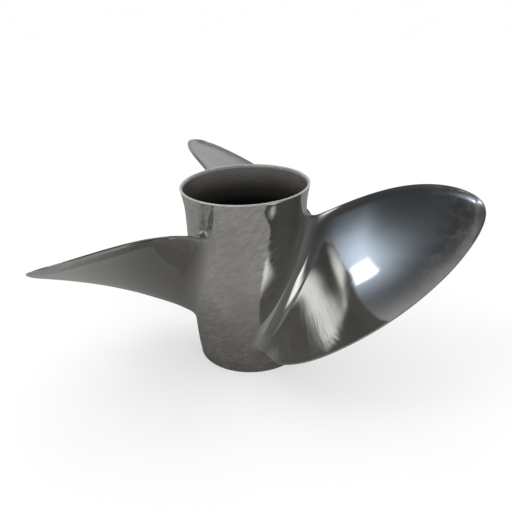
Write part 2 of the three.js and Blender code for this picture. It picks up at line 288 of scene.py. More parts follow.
def camber_line(u, chord, X):
    fade = smooth(0.0, 0.12, u) * (1 - 0.55 * smooth(0.9, 1.0, u))
    width = min(CUP_WIDTH, chord * 0.2)
    xs = -1 + 2 * width / chord
    q = np.clip((xs - X) / (xs + 1), 0, 1) ** 2
    h = CUP_HEIGHT * fade * min(max(chord / 60, 0), 1) * (0.42 + 0.58 * smooth(0.35, 0.72, u))
    return -CAMBER * chord * (1 - X * X) + h * (q - (1 - X) / 2)


def section_loop(u, fillet, n_arc, n_face):
    r = R_ROOT + u * SPAN
    width = math.sqrt(max(1 - u, 0)) * poly(WIDTH, u)
    mid = poly(SKEW, u)
    pitch = PITCH * poly(PITCH_GROWTH, u)
    phi = math.atan(pitch / (2 * math.pi * r))
    chord = max(r * width / math.cos(phi), 1e-6)
    X, h = half_section(u, chord, n_arc, n_face)
    y0 = camber_line(u, chord, X)
    x = np.concatenate([X * chord / 2, (X * chord / 2)[1:-1][::-1]])
    y = np.concatenate([y0 + h, (y0 - h)[1:-1][::-1]])
    # the casting is filled out where the leading edge runs into the barrel
    d = u * SPAN
    fill = 3.6 * (1 - smooth(0.0, 26.0, d)) - 1.3 * smooth(10.0, 30.0, d) * (1 - smooth(55.0, 85.0, d))
    x = x + fill * smooth(0.25, 1.0, 2 * x / chord)
    x_plain = x.copy()
    if fillet > 0:
        ax, ay = np.roll(x, 1), np.roll(y, 1)
        bx, by = np.roll(x, -1), np.roll(y, -1)
        nx, ny = (by - ay), -(bx - ax)
        ln = np.hypot(nx, ny)
        nx, ny = nx / ln, ny / ln
        edge = np.where(nx > 0, ROOT_FILLET_LE, ROOT_FILLET_TE)
        k = fillet * (1 + (edge / ROOT_FILLET - 1) * nx * nx)
        x, y = x + nx * k, y + ny * k
    z0 = Z_CENTRE + SPAN * poly(RAKE, u)
    t = r * mid + x * math.cos(phi) + y * math.sin(phi)
    z = z0 - pitch / (2 * math.pi) * mid - x * math.sin(phi) + y * math.cos(phi)
    return t / r, z, x_plain, chord / 2 - np.abs(x_plain)


def blade_stations():
    st = [(-0.9, ROOT_FILLET)]
    n = 18
    for i in range(n):
        a = math.pi / 2 * (i / n) ** 1.5
        st.append((ROOT_FILLET * (1 - math.cos(a)), ROOT_FILLET * (1 - math.sin(a))))
    d = np.concatenate([np.arange(ROOT_FILLET, SPAN - 9, 1.9), SPAN - 9 * np.linspace(1, 0, 26)[:-1] ** 2.2])
    d = np.unique(np.round(d, 4))
    keep = [d[0]]
    for v in d[1:]:
        if v - keep[-1] > 0.01:
            keep.append(v)
    return st + [(float(v), 0.0) for v in keep]


def build_blade(index, material):
    n_arc, n_face = 8, 96
    st = blade_stations()
    az = math.radians(BLADE_AZIMUTH + 120 * index)
    P, along, inset = [], [], []
    for d, fil in st:
        th, z, x_plain, from_edge = section_loop(d / SPAN, fil, n_arc, n_face)
        along += list(x_plain)
        inset += list(from_edge)
        skin = barrel_radius(z)
        r = skin + d + (R_ROOT - skin) * smooth(0, 26, d)
        P.append(np.stack([r * np.cos(az - th), r * np.sin(az - th), z], -1))
    P = np.array(P)
    m, n, _ = P.shape
    verts = list(P.reshape(-1, 3))
    span = list(np.repeat([s[0] for s in st], n))
    faces = []
    for j in range(m - 1):
        for i in range(n):
            a, b = j * n + i, j * n + (i + 1) % n
            faces.append((a, a + n, b + n, b))
    th = poly(SKEW, 1)
    zt = Z_CENTRE + SPAN * poly(RAKE, 1) - PITCH * poly(PITCH_GROWTH, 1) / (2 * math.pi) * th
    verts.append(np.array([R_TIP * math.cos(az - th), R_TIP * math.sin(az - th), zt]))
    span.append(SPAN)
    apex = len(verts) - 1
    for i in range(n):
        faces.append(((m - 1) * n + i, apex, (m - 1) * n + (i + 1) % n))
    half, across, rows = n // 2, 10, []
    for i in range(half + 1):
        if i in (0, half):
            rows.append([i])
            continue
        p, q = P[0, i], P[0, n - i]
        tp, tq = math.atan2(p[1], p[0]), math.atan2(q[1], q[0])
        dt = (tq - tp + math.pi) % (2 * math.pi) - math.pi
        row = [i]
        for k in range(1, across):
            t = tp + dt * k / across
            z = p[2] + (q[2] - p[2]) * k / across
            r = float(barrel_radius(z)) - 0.9
            verts.append(np.array([r * math.cos(t), r * math.sin(t), z]))
            span.append(-0.9)
            row.append(len(verts) - 1)
        row.append(n - i)
        rows.append(row)
    for i in range(half):
        p, q = rows[i], rows[i + 1]
        if len(p) == 1:
            faces += [(p[0], q[k], q[k + 1]) for k in range(across)]
        elif len(q) == 1:
            faces += [(p[k + 1], p[k], q[0]) for k in range(across)]
        else:
            faces += [(p[k], q[k], q[k + 1], p[k + 1]) for k in range(across)]
    V = np.array(verts)
    span = np.array(span)
    # vertex normals for the relief
    me = bpy.data.meshes.new("tmp")
    me.from_pydata(V.tolist(), [], faces)
    me.update()
    N = np.zeros(len(V) * 3)
    me.vertices.foreach_get("normal", N)
    N = N.reshape(-1, 3)
    bpy.data.meshes.remove(me)
    # at the root the blade skin is the barrel skin, so it takes the barrel's own normal there
    radial = V * [1, 1, 0]
    radial /= np.linalg.norm(radial, axis=1)[:, None]
    w = (1 - smooth(0.0, 1.2, span))[:, None]
    N = N * (1 - w) + radial * w
    N /= np.linalg.norm(N, axis=1)[:, None]
    relief = polish_relief(V)
    r = np.hypot(V[:, 0], V[:, 1])
    edge = 1 - smooth(R_TIP - 12, R_TIP - 2, r)
    V = V + N * (relief * (0.25 + 0.75 * edge))[:, None]
    sharp = [(n + i, n + (i + 1) % n) for i in range(n)]
    extra = len(V) - len(along)
    along = np.array(along + [0.0] * extra)
    inset = np.array(inset + [50.0] * extra)
    # corners at the two ends of the root that the belt cannot reach, and the shallow ripples beside it
    corner = (1 - smooth(3.0, 22.0, span)) * (1 - smooth(5.0, 18.0, inset))
    across = 0.77 * span - 0.64 * along
    run = 0.64 * span + 0.77 * along
    ripple = smooth(7.0, 12.0, across) * (1 - smooth(19.0, 25.0, across)) * smooth(34.0, 50.0, run) * (1 - smooth(98.0, 116.0, run))
    return make_piece(f"blade_{index + 1}_body", V, faces, material, "casting",
                      [f"blade_{index + 1}"],
                      attrs={"root": 1 - smooth(0.0, 34.0, span), "corner": corner, "ripple": ripple,
                             "across": across / 10, "run": run / 10, "outer": smooth(100.0, 128.0, span)}, sharp=sharp)


# =====================================================================================
# Inner hub, webs, rubber bush, splined sleeve
# =====================================================================================
def build_hub(material):
    seg = 224
    p = []
    p += arc(HUB_BORE_R + 1.4, HUB_Z0 + 1.0, 1.0, 200, 270, 4)
    p += line((HUB_BORE_R + 1.4, HUB_Z0), (HUB_R - 1.5, HUB_Z0), 3)
    p += arc(HUB_R - 1.5, HUB_Z0 + 1.5, 1.5, 270, 360, 6)
    p += line((HUB_R, HUB_Z0 + 1.5), (HUB_R, HUB_Z1 - 1.5), 40)
    p += arc(HUB_R - 1.5, HUB_Z1 - 1.5, 1.5, 0, 90, 6)
    p += line((HUB_R - 1.5, HUB_Z1), (HUB_SHOULDER_R + 0.6, HUB_Z1), 8)
    p += arc(HUB_SHOULDER_R + 0.6, HUB_Z1 - 0.6, 0.6, 90, 180, 4)
    p += line((HUB_SHOULDER_R, HUB_Z1 - 0.6), (HUB_SHOULDER_R, HUB_SHOULDER_Z), 3)
    p += [(HUB_SHOULDER_R, HUB_SHOULDER_Z)]
    p += line((HUB_SHOULDER_R, HUB_SHOULDER_Z), (HUB_BORE_R, HUB_SHOULDER_Z), 2)
    p += [(HUB_BORE_R, HUB_SHOULDER_Z)]
    p += line((HUB_BORE_R, HUB_SHOULDER_Z), (HUB_BORE_R, HUB_Z0 + 1.5), 20)
    V, F = revolve(p, seg)
    N = revolve_normals(p, seg)
    r = np.hypot(V[:, 0], V[:, 1])
    rough = smooth(HUB_R - 1.6, HUB_R - 0.2, r)
    V = V + N * (rough * cast_relief(V))[:, None]
    return make_piece("inner_hub_body", V, F, material, "casting", ["inner_hub"],
                      attrs={"cast": smooth(HUB_R - 1.2, HUB_R - 0.1, r)})


def web_section(half):
    """Half outline of a web across its thickness, as (x, y) from the hub to the barrel."""
    r0, r1, f = HUB_R - 0.35, BARREL_BORE_R + 0.35, WEB_FILLET
    pts = []
    for i in range(9):
        a = math.pi / 2 * i / 8
        pts.append((r0 + f * math.sin(a) * 1.0, half + f * (1 - math.cos(math.pi / 2 - a))))
    # from the hub fillet's end the flank is straight
    pts = [(r0 + f * (1 - math.cos(math.pi / 2 * i / 8)), half + f * (1 - math.sin(math.pi / 2 * i / 8))) for i in range(9)]
    pts += [(pts[-1][0] + (r1 - f - pts[-1][0]) * i / 5, half) for i in range(1, 5)]
    pts += [(r1 - f + f * math.sin(math.pi / 2 * i / 8), half + f * (1 - math.cos(math.pi / 2 * i / 8))) for i in range(9)]
    return pts


def build_web(index, material):
    az = math.radians(BLADE_AZIMUTH + 120 * index)
    rr = 3.2
    levels = []
    for i in range(8):
        a = math.pi / 2 * i / 7
        levels.append((WEB_Z0 + rr * (1 - math.sin(a)) if False else WEB_Z0 + rr * (1 - math.cos(a)), rr * (1 - math.sin(a))))
    levels = [(WEB_Z0 + rr * (1 - math.cos(math.pi / 2 * i / 7)), rr * (1 - math.sin(math.pi / 2 * i / 7))) for i in range(8)]
    mid = [(z, 0.0) for z in np.linspace(WEB_Z0 + rr, WEB_Z1 - rr, 44)[1:-1]]
    top = [(WEB_Z1 - (z - WEB_Z0), inset) for z, inset in reversed(levels)]
    levels = levels + mid + top
    rings = []
    for z, inset in levels:
        side = web_section(WEB_THICK / 2 - inset)
        loop = []
        for x, y in side:
            loop.append((x, -y))
        for x, y in reversed(side):
            loop.append((x, y))
        # the ends lie on the hub and the barrel, so x there follows their curve
        loop = [(math.copysign(1, x) * x if y == 0 else x, y) for x, y in loop]
        rings.append(loop)
    n = len(rings[0])
    V, F = [], []
    for (z, inset), loop in zip(levels, rings):
        for x, y in loop:
            # measured round the axis: x is the radius
            a = az + y / x
            V.append((x * math.cos(a), x * math.sin(a), z))
    m = len(levels)
    for j in range(m - 1):
        for i in range(n):
            a, b = j * n + i, j * n + (i + 1) % n
            F.append((a, b, b + n, a + n))
    # caps: strips between the two flanks
    h = n // 2
    for i in range(h - 1):
        F.append((i + 1, i, n - 1 - i, n - 2 - i))
        k = (m - 1) * n
        F.append((k + i, k + i + 1, k + n - 2 - i, k + n - 1 - i))
    V = np.array(V)
    me = bpy.data.meshes.new("tmp")
    me.from_pydata(V.tolist(), [], F)
    me.update()
    N = np.zeros(len(V) * 3)
    me.vertices.foreach_get("normal", N)
    N = N.reshape(-1, 3)
    bpy.data.meshes.remove(me)
    V = V + N * cast_relief(V)[:, None]
    return make_piece(f"web_{index + 1}_body", V, F, material, "casting", [f"web_{index + 1}"],
                      attrs={"cast": np.ones(len(V))})


def build_bush(material):
    seg = 224
    ri, ro = BUSH_BORE_R - 0.15, BUSH_R + 0.22
    z0, z1 = BUSH_Z0, BUSH_Z1 + 0.15
    p = []
    # forward end: moulded hollow with a thin feather edge at both walls
    p += [(ri, z0 + 0.25)]
    p += [(ri + (ro - ri) * t, z0 + 2.4 * math.sin(math.pi * t) ** 1.4 if 0.03 < t < 0.97 else z0) for t in np.linspace(0.02, 0.98, 21)]
    p += [(ro, z0 + 0.5)]
    p += line((ro, z0 + 0.5), (ro, z1 - 0.5), 24)
    p += [(ro, z1 - 0.5)]
    p += [(ro + (ri - ro) * t, z1 - (1.5 * math.sin(math.pi * min(max((t - 0.32) / 0.66, 0), 1)) ** 1.4)) for t in np.linspace(0.02, 0.98, 25)]
    p += [(ri, z1 - 0.25)]
    p += line((ri, z1 - 0.25), (ri, z0 + 0.25), 24)
    V, F = revolve(p, seg)
    return make_piece("rubber_bush_body", V, F, material, "casting", ["rubber_bush"])


def build_sleeve(material):
    per = 20
    seg = SPLINES * per
    step = 2 * math.pi / SPLINES
    f = (np.arange(per) / per + 0.5) % 1.0 - 0.5          # -0.5 to 0.5, 0 at a tooth space centre
    w = np.abs(f)
    bore = np.where(w < 0.21, SPLINE_MAJOR_R,
                    np.where(w > 0.31, SPLINE_MINOR_R,
                             SPLINE_MAJOR_R + (SPLINE_MINOR_R - SPLINE_MAJOR_R) * smooth(0.205, 0.315, w)))
    bore = np.tile(bore, SPLINES)
    a = np.arange(seg) * step / per
    z0, z1 = SLEEVE_Z0, SLEEVE_Z1
    lead = 2.4
    # rows: (kind, value): outside radius rows then face rows then bore rows
    rows = []
    out = [(SLEEVE_R - 0.8, z0), (SLEEVE_R - 0.4, z0 + 0.12), (SLEEVE_R - 0.12, z0 + 0.4), (SLEEVE_R, z0 + 0.8)]
    out += line((SLEEVE_R, z0 + 0.8), (SLEEVE_R, z1 - 0.8), 36)
    out += [(SLEEVE_R, z1 - 0.8), (SLEEVE_R - 0.12, z1 - 0.4), (SLEEVE_R - 0.4, z1 - 0.12), (SLEEVE_R - 0.8, z1)]
    for r, z in out:
        rows.append((np.full(seg, r), np.full(seg, z)))
    mouth = SPLINE_MAJOR_R + 1.0
    for r in np.linspace(SLEEVE_R - 1.6, mouth + 0.25, 4):
        rows.append((np.full(seg, r), np.full(seg, z1)))

    def cone(depth):
        return mouth + (SPLINE_MINOR_R - 0.9 - mouth) * depth / (lead + 1.3)

    depths = [0.0, 0.2, 0.6, 1.0, 1.4, 1.8, 2.2, 2.6, 3.0, 3.4, 4.0]
    for d in depths:
        rows.append((np.maximum(bore, cone(d)) if d > 0 else np.full(seg, mouth), np.full(seg, z1 - d)))
    for z in np.linspace(z1 - 6, z0 + 6, 30):
        rows.append((bore, np.full(seg, z)))
    for d in reversed(depths):
        rows.append((np.maximum(bore, cone(d)) if d > 0 else np.full(seg, mouth), np.full(seg, z0 + d)))
    for r in np.linspace(mouth + 0.25, SLEEVE_R - 1.6, 4):
        rows.append((np.full(seg, r), np.full(seg, z0)))
    n = len(rows)
    V = np.zeros((seg, n, 3))
    for i, (r, z) in enumerate(rows):
        V[:, i, 0] = r * np.cos(a)
        V[:, i, 1] = r * np.sin(a)
        V[:, i, 2] = z
    return make_piece("drive_sleeve_body", V.reshape(-1, 3), ring_faces(n, seg), material, "sleeve",
                      ["drive_sleeve"])


# =====================================================================================
# Node helpers
# =====================================================================================
class Tree:
    def __init__(self, tree):
        self.t = tree
        tree.nodes.clear()

    def new(self, kind, **props):
        nd = self.t.nodes.new(kind)
        for k, v in props.items():
            setattr(nd, k, v)
        return nd

    def put(self, socket, value):
        if isinstance(value, bpy.types.NodeSocket):
            self.t.links.new(value, socket)
        elif value is not None:
            socket.default_value = value

    def m(self, op, a, b=None, c=None, clamp=False):
        nd = self.new("ShaderNodeMath", operation=op, use_clamp=clamp)
        for s, v in zip(nd.inputs, (a, b, c)):
            self.put(s, v)
        return nd.outputs[0]

    def add(self, a, b): return self.m("ADD", a, b)
    def sub(self, a, b): return self.m("SUBTRACT", a, b)
    def mul(self, a, b): return self.m("MULTIPLY", a, b)
    def div(self, a, b): return self.m("DIVIDE", a, b)
    def max(self, a, b): return self.m("MAXIMUM", a, b)
    def min(self, a, b): return self.m("MINIMUM", a, b)

    def inv(self, a): return self.m("SUBTRACT", 1.0, a)

    def lin(self, x, y, cx, cy, c0=0.0):
        return self.add(self.add(self.mul(x, cx), self.mul(y, cy)), c0)

    def step(self, x, a, b, lo=0.0, hi=1.0):
        """Smooth step from lo at a to hi at b."""
        nd = self.new("ShaderNodeMapRange", interpolation_type="SMOOTHSTEP")
        self.put(nd.inputs["Value"], x)
        nd.inputs["From Min"].default_value = min(a, b)
        nd.inputs["From Max"].default_value = max(a, b)
        nd.inputs["To Min"].default_value = lo if a < b else hi
        nd.inputs["To Max"].default_value = hi if a < b else lo
        return nd.outputs[0]

    def ramp(self, x, a, b, lo=0.0, hi=1.0):
        nd = self.new("ShaderNodeMapRange", interpolation_type="LINEAR", clamp=True)
        self.put(nd.inputs["Value"], x)
        nd.inputs["From Min"].default_value = a
        nd.inputs["From Max"].default_value = b
        nd.inputs["To Min"].default_value = lo
        nd.inputs["To Max"].default_value = hi
        return nd.outputs[0]

    def gauss(self, x, y, cx, cy, sx, sy, angle=0.0):
        c, s = math.cos(math.radians(angle)), math.sin(math.radians(angle))
        u = self.lin(x, y, c / sx, s / sx, (-cx * c - cy * s) / sx)
        v = self.lin(x, y, -s / sy, c / sy, (cx * s - cy * c) / sy)
        q = self.add(self.mul(u, u), self.mul(v, v))
        return self.m("EXPONENT", self.mul(q, -1.0))

    def mix(self, f, a, b):
        nd = self.new("ShaderNodeMix", data_type="RGBA")
        self.put(nd.inputs[0], f)
        for s, v in ((nd.inputs[6], a), (nd.inputs[7], b)):
            self.put(s, (*v, 1.0) if isinstance(v, tuple) and len(v) == 3 else v)
        return nd.outputs[2]

    def noise(self, vec, scale, detail=2.0, rough=0.5, distortion=0.0):
        nd = self.new("ShaderNodeTexNoise", noise_dimensions="3D")
        self.put(nd.inputs["Vector"], vec)
        nd.inputs["Scale"].default_value = scale
        nd.inputs["Detail"].default_value = detail
        nd.inputs["Roughness"].default_value = rough
        nd.inputs["Distortion"].default_value = distortion
        return nd.outputs["Fac"]

    def xyz(self, v):
        nd = self.new("ShaderNodeSeparateXYZ")
        self.put(nd.inputs[0], v)
        return nd.outputs[0], nd.outputs[1], nd.outputs[2]

    def combine(self, x, y, z):
        nd = self.new("ShaderNodeCombineXYZ")
        for s, v in zip(nd.inputs, (x, y, z)):
            self.put(s, v)
        return nd.outputs[0]

    def bump(self, height, strength, distance, normal=None):
        nd = self.new("ShaderNodeBump")
        self.put(nd.inputs["Height"], height)
        nd.inputs["Strength"].default_value = strength
        nd.inputs["Distance"].default_value = distance
        if normal is not None:
            self.put(nd.inputs["Normal"], normal)
        return nd.outputs[0]

    def attr(self, name):
        nd = self.new("ShaderNodeAttribute", attribute_type="GEOMETRY", attribute_name=name)
        return nd.outputs["Fac"]


def new_material(name):
    m = bpy.data.materials.new(name)
    m.use_nodes = True
    t = Tree(m.node_tree)
    out = t.new("ShaderNodeOutputMaterial")
    bsdf = t.new("ShaderNodeBsdfPrincipled")
    t.t.links.new(bsdf.outputs[0], out.inputs[0])
    return m, t, bsdf


# =====================================================================================
# Materials
# =====================================================================================
def polished_blade():
    m, t, b = new_material("polished_blade_steel")
    p = t.new("ShaderNodeTexCoord").outputs["Object"]
    x, y, z = t.xyz(p)
    # broad differences in how far the polish was taken
    cloud = t.noise(p, 16.0, 3.0, 0.55)
    patch = t.noise(p, 55.0, 4.0, 0.6)
    # fine belt lines run round the shaft axis, so they are long in angle and short in radius
    r = t.m("SQRT", t.add(t.mul(x, x), t.mul(y, y)))
    ang = t.m("ARCTAN2", y, x)
    belt = t.noise(t.combine(t.mul(ang, 1.2), t.mul(r, 46.0), t.mul(z, 10.0)), 14.0, 5.0, 0.62)
    hair = t.noise(t.combine(t.mul(ang, 5.0), t.mul(r, 210.0), t.mul(z, 36.0)), 12.0, 3.0, 0.6)
    b.inputs["Metallic"].default_value = 1.0
    tone = t.ramp(cloud, 0.3, 0.7)
    t.put(b.inputs["Base Color"], t.mix(tone, (0.675, 0.668, 0.655), (0.720, 0.714, 0.702)))
    rough = t.add(t.ramp(cloud, 0.3, 0.75, 0.030, 0.075), t.ramp(belt, 0.45, 0.75, 0.0, 0.035))
    rough = t.add(rough, t.ramp(patch, 0.58, 0.8, 0.0, 0.05))
    rough = t.add(rough, t.add(t.mul(t.attr("corner"), 0.31), t.mul(t.attr("root"), 0.012)))
    # scuffing near the tip: a thin matt haze in patches, with short marks in it
    across, run = t.attr("across"), t.attr("run")
    marks = t.noise(t.combine(t.mul(across, 3.0), t.mul(run, 0.7), 0.0), 3.0, 4.0, 0.65)
    scuff = t.mul(t.mul(t.attr("outer"), t.ramp(patch, 0.42, 0.64)), t.ramp(marks, 0.38, 0.62))
    t.put(b.inputs["Metallic"], t.sub(1.0, t.add(t.mul(scuff, 0.12), t.mul(t.ramp(belt, 0.5, 0.8), 0.004))))
    rough = t.add(rough, t.mul(scuff, 0.16))
    t.put(b.inputs["Roughness"], rough)
    # shallow ripples left by the belt where it turned towards the leading edge
    ripples = t.noise(t.combine(t.mul(across, 5.2), t.mul(run, 0.22), t.mul(patch, 0.6)), 1.0, 3.0, 0.55)
    n = t.bump(belt, 0.10, 0.00016)
    n = t.bump(hair, 0.06, 0.00004, n)
    n = t.bump(t.mul(ripples, t.attr("ripple")), 0.9, 0.00016, n)
    t.put(b.inputs["Normal"], n)
    return m


def polished_barrel():
    m, t, b = new_material("polished_barrel_steel")
    p = t.new("ShaderNodeTexCoord").outputs["Object"]
    x, y, z = t.xyz(p)
    cast = t.attr("cast")
    r = t.m("SQRT", t.add(t.mul(x, x), t.mul(y, y)))
    ang = t.m("ARCTAN2", y, x)
    cloud = t.noise(p, 22.0, 3.0, 0.55)
    # polishing lines run round the barrel
    turn = t.noise(t.combine(t.mul(ang, 2.0), t.mul(r, 8.0), t.mul(z, 60.0)), 12.0, 5.0, 0.6)
    hair = t.noise(t.combine(t.mul(ang, 7.0), t.mul(r, 20.0), t.mul(z, 300.0)), 12.0, 2.0, 0.6)
    grain = t.noise(p, 900.0, 4.0, 0.65)
    lump = t.noise(p, 240.0, 3.0, 0.6)
    stain = t.noise(p, 38.0, 4.0, 0.6)
    lower = t.step(z, 0.030, -0.060)                        # the belt finish is duller towards the forward end
    # haze left by hand polishing: short slanting strokes, patchy
    stroke = t.noise(t.combine(t.add(t.mul(ang, 2.6), t.mul(z, 26.0)), t.mul(r, 6.0), t.sub(t.mul(z, 150.0), t.mul(ang, 4.5))), 2.2, 5.0, 0.62)
    patchy = t.noise(p, 24.0, 4.0, 0.6)
    # one side was buffed again afterwards and is clear of it
    facing = t.div(t.lin(x, y, -0.766, -0.643), r)
    unbuffed = t.max(t.step(facing, 0.12, 0.42), t.step(facing, -0.3, -0.7, 0.0, 0.7))
    haze = t.mul(t.mul(t.ramp(stroke, 0.46, 0.70), t.ramp(patchy, 0.36, 0.62)), unbuffed)
    steel = t.mix(t.ramp(cloud, 0.3, 0.7), (0.655, 0.640, 0.615), (0.725, 0.716, 0.700))
    steel = t.mix(t.mul(t.ramp(stroke, 0.52, 0.34), 0.6), steel, (0.60, 0.575, 0.535))
    steel = t.mix(t.mul(haze, 0.6), steel, (0.82, 0.80, 0.76))
    # painted shade: a dark line painted into the colour in the corner above the spigot, where the ledge's shadow falls
    corner = t.sub(1.0, t.ramp(t.m("ABSOLUTE", t.sub(z, -0.07262)), 0.00018, 0.00055))
    steel = t.mix(t.mul(corner, 0.85), steel, (0.05, 0.042, 0.034))
    # turned rings on the spigot and just above it
    rings = t.noise(t.combine(0.0, 0.0, t.mul(z, 1500.0)), 1.0, 2.0, 0.6)
    ring_zone = t.step(z, -0.0690, -0.0712)
    steel = t.mix(t.mul(ring_zone, t.ramp(rings, 0.42, 0.62)), steel, (0.46, 0.43, 0.38))
    skin = t.mix(t.ramp(stain, 0.35, 0.7), (0.125, 0.119, 0.111), (0.180, 0.173, 0.163))
    # painted shade: the bore's cast skin is painted darker on its -Y side, darker again deeper into the bore, and near
    # black towards the bottom
    bore_lit_side = t.lin(x, y, 3.8, 19.6)
    skin = t.mix(t.step(bore_lit_side, 0.9, -0.2), skin, (0.075, 0.071, 0.066))
    skin = t.mix(t.step(z, 0.0870, 0.0620), skin, (0.026, 0.0245, 0.0225))
    skin = t.mix(t.step(z, 0.0640, 0.0505), skin, (0.0050, 0.0047, 0.0043))
    t.put(b.inputs["Base Color"], t.mix(cast, steel, skin))
    rim = t.step(z, 0.0854, 0.0865)                         # the rim is handled most and has gone matt
    haze_out = t.mul(t.sub(1.0, cast), t.add(t.add(t.mul(haze, 0.052), t.mul(t.mul(t.ramp(turn, 0.45, 0.75), unbuffed), 0.02)), t.mul(rim, 0.42)))
    t.put(b.inputs["Metallic"], t.sub(1.0, t.add(t.mul(cast, 0.98), haze_out)))
    b.inputs["Specular IOR Level"].default_value = 0.10
    spigot = t.step(z, -0.0724, -0.0728)
    rough_out = t.add(t.ramp(cloud, 0.3, 0.75, 0.035, 0.085), t.add(t.mul(lower, 0.09), t.ramp(turn, 0.45, 0.75, 0.0, 0.05)))
    rough_out = t.add(t.add(rough_out, t.mul(haze, 0.13)), t.mul(spigot, 0.10))
    rough_in = t.ramp(stain, 0.3, 0.7, 0.52, 0.70)
    mixr = t.new("ShaderNodeMix", data_type="FLOAT")
    t.put(mixr.inputs[0], cast)
    t.put(mixr.inputs[2], rough_out)
    t.put(mixr.inputs[3], rough_in)
    t.put(b.inputs["Roughness"], mixr.outputs[0])
    height_out = t.add(t.add(t.mul(turn, 0.10), t.mul(hair, 0.03)), t.mul(stroke, t.add(t.mul(unbuffed, 0.15), 0.07)))
    height_out = t.add(height_out, t.mul(t.mul(rings, ring_zone), 0.25))
    height_in = t.add(t.mul(grain, 1.4), t.mul(lump, 3.2))
    mixh = t.new("ShaderNodeMix", data_type="FLOAT")
    t.put(mixh.inputs[0], cast)
    t.put(mixh.inputs[2], height_out)
    t.put(mixh.inputs[3], height_in)
    t.put(b.inputs["Normal"], t.bump(mixh.outputs[0], 0.5, 0.0002))
    return m


def cast_steel():
    m, t, b = new_material("cast_hub_steel")
    p = t.new("ShaderNodeTexCoord").outputs["Object"]
    x, y, z = t.xyz(p)
    cast = t.attr("cast")
    stain = t.noise(p, 38.0, 4.0, 0.6)
    grain = t.noise(p, 900.0, 4.0, 0.65)
    lump = t.noise(p, 240.0, 3.0, 0.6)
    r = t.m("SQRT", t.add(t.mul(x, x), t.mul(y, y)))
    turned = t.noise(t.combine(t.mul(r, 900.0), t.mul(z, 500.0), 0.0), 1.0, 2.0, 0.5)
    skin = t.mix(t.ramp(stain, 0.35, 0.7), (0.085, 0.072, 0.060), (0.200, 0.176, 0.152))
    cut = t.mix(t.ramp(stain, 0.35, 0.7), (0.36, 0.345, 0.325), (0.44, 0.425, 0.40))
    t.put(b.inputs["Base Color"], t.mix(cast, cut, skin))
    b.inputs["Metallic"].default_value = 1.0
    mixr = t.new("ShaderNodeMix", data_type="FLOAT")
    t.put(mixr.inputs[0], cast)
    t.put(mixr.inputs[2], t.ramp(turned, 0.3, 0.7, 0.26, 0.36))
    t.put(mixr.inputs[3], t.ramp(stain, 0.3, 0.7, 0.52, 0.70))
    t.put(b.inputs["Roughness"], mixr.outputs[0])
    mixh = t.new("ShaderNodeMix", data_type="FLOAT")
    t.put(mixh.inputs[0], cast)
    t.put(mixh.inputs[2], t.mul(turned, 0.35))
    t.put(mixh.inputs[3], t.add(t.mul(grain, 1.4), t.mul(lump, 3.2)))
    t.put(b.inputs["Normal"], t.bump(mixh.outputs[0], 0.5, 0.0002))
    return m


def bronze():
    m, t, b = new_material("sleeve_bronze")
    p = t.new("ShaderNodeTexCoord").outputs["Object"]
    x, y, z = t.xyz(p)
    r = t.m("SQRT", t.add(t.mul(x, x), t.mul(y, y)))
    tint = t.noise(p, 60.0, 4.0, 0.6)
    grease = t.noise(p, 120.0, 3.0, 0.55)
    turned = t.noise(t.combine(t.mul(r, 1100.0), t.mul(z, 900.0), 0.0), 1.0, 3.0, 0.5)
    fresh = t.mix(t.ramp(tint, 0.3, 0.7), (0.50, 0.335, 0.150), (0.62, 0.440, 0.215))
    t.put(b.inputs["Base Color"], t.mix(t.ramp(grease, 0.5, 0.72, 0.0, 0.65), fresh, (0.16, 0.105, 0.055)))
    b.inputs["Metallic"].default_value = 1.0
    t.put(b.inputs["Roughness"], t.add(t.ramp(turned, 0.3, 0.7, 0.24, 0.36), t.ramp(grease, 0.5, 0.72, 0.0, 0.2)))
    t.put(b.inputs["Normal"], t.bump(turned, 0.35, 0.00005))
    return m


def rubber():
    m, t, b = new_material("bush_rubber")
    p = t.new("ShaderNodeTexCoord").outputs["Object"]
    dust = t.noise(p, 90.0, 5.0, 0.6)
    grain = t.noise(p, 1400.0, 3.0, 0.6)
    t.put(b.inputs["Base Color"], t.mix(t.ramp(dust, 0.45, 0.75), (0.010, 0.010, 0.011), (0.034, 0.032, 0.030)))
    t.put(b.inputs["Roughness"], t.ramp(dust, 0.3, 0.7, 0.62, 0.86))
    t.put(b.inputs["Normal"], t.bump(grain, 0.4, 0.00012))
    return m


blade_steel = polished_blade()
barrel_steel = polished_barrel()
hub_steel = cast_steel()
sleeve_bronze = bronze()
bush_rubber = rubber()

build_barrel(barrel_steel)
for k in range(3):
    build_blade(k, blade_steel)
build_hub(hub_steel)
for k in range(3):
    build_web(k, hub_steel)
build_bush(bush_rubber)
build_sleeve(sleeve_bronze)

# =====================================================================================
# Camera
# =====================================================================================
D, elev, yaw, pitch_, roll, focal = 586.987, 26.274, -0.686, 1.322, 2.95, 621.197
e = math.radians(elev)
cam_pos = np.array([0, -D * math.cos(e), 80 + D * math.sin(e)])
fwd = np.array([0, math.cos(e), -math.sin(e)])
right = np.array([1.0, 0, 0])
up = np.cross(right, fwd)


def turn(axis, angle, v):
    axis = axis / np.linalg.norm(axis)
    return v * math.cos(angle) + np.cross(axis, v) * math.sin(angle) + axis * (axis @ v) * (1 - math.cos(angle))


